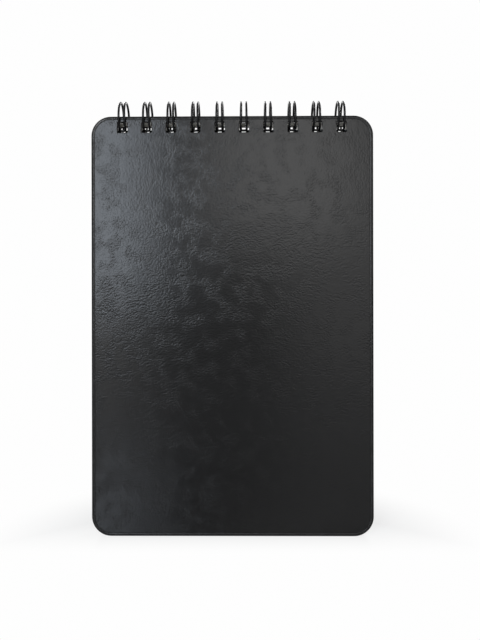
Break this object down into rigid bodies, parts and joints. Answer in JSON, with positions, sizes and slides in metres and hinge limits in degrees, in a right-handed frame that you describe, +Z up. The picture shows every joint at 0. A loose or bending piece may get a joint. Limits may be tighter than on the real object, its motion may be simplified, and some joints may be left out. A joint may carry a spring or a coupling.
{
  "type": "wire-bound notebook",
  "caption": "Pocket notebook with two hard leather-grain covers and a block of pages, bound along the top edge on black twin-loop wire, so the covers turn over the top.",
  "frame": {"origin": "on the surface the notebook stands on, below the middle of the wire loops, midway between its sides", "axes": "+X to the right along the binding as seen from the front, +Y from the front cover to the back cover, +Z up towards the binding"},
  "size_m": [0.098, 0.0116, 0.1521],
  "materials": {
    "cover": "black leather-grain covering on board, satin",
    "paper": "off-white writing paper, cut edges",
    "wire": "black nylon-coated steel wire, semi-gloss"
  },
  "bodies": {
    "binding": {"wire_binding": "wire", "page_block": "paper"},
    "front_cover": {"front_cover": "cover"},
    "back_cover": {"back_cover": "cover"}
  },
  "joints": [
    {"name": "front_cover_hinge", "type": "hinge", "parent": "binding", "child": "front_cover", "pos_m": [0, 0, 0.14631], "axis": [-1, 0, 0], "range_deg": [0, 180]},
    {"name": "back_cover_hinge", "type": "hinge", "parent": "binding", "child": "back_cover", "pos_m": [0, 0, 0.14631], "axis": [1, 0, 0], "range_deg": [0, 180]}
  ]
}
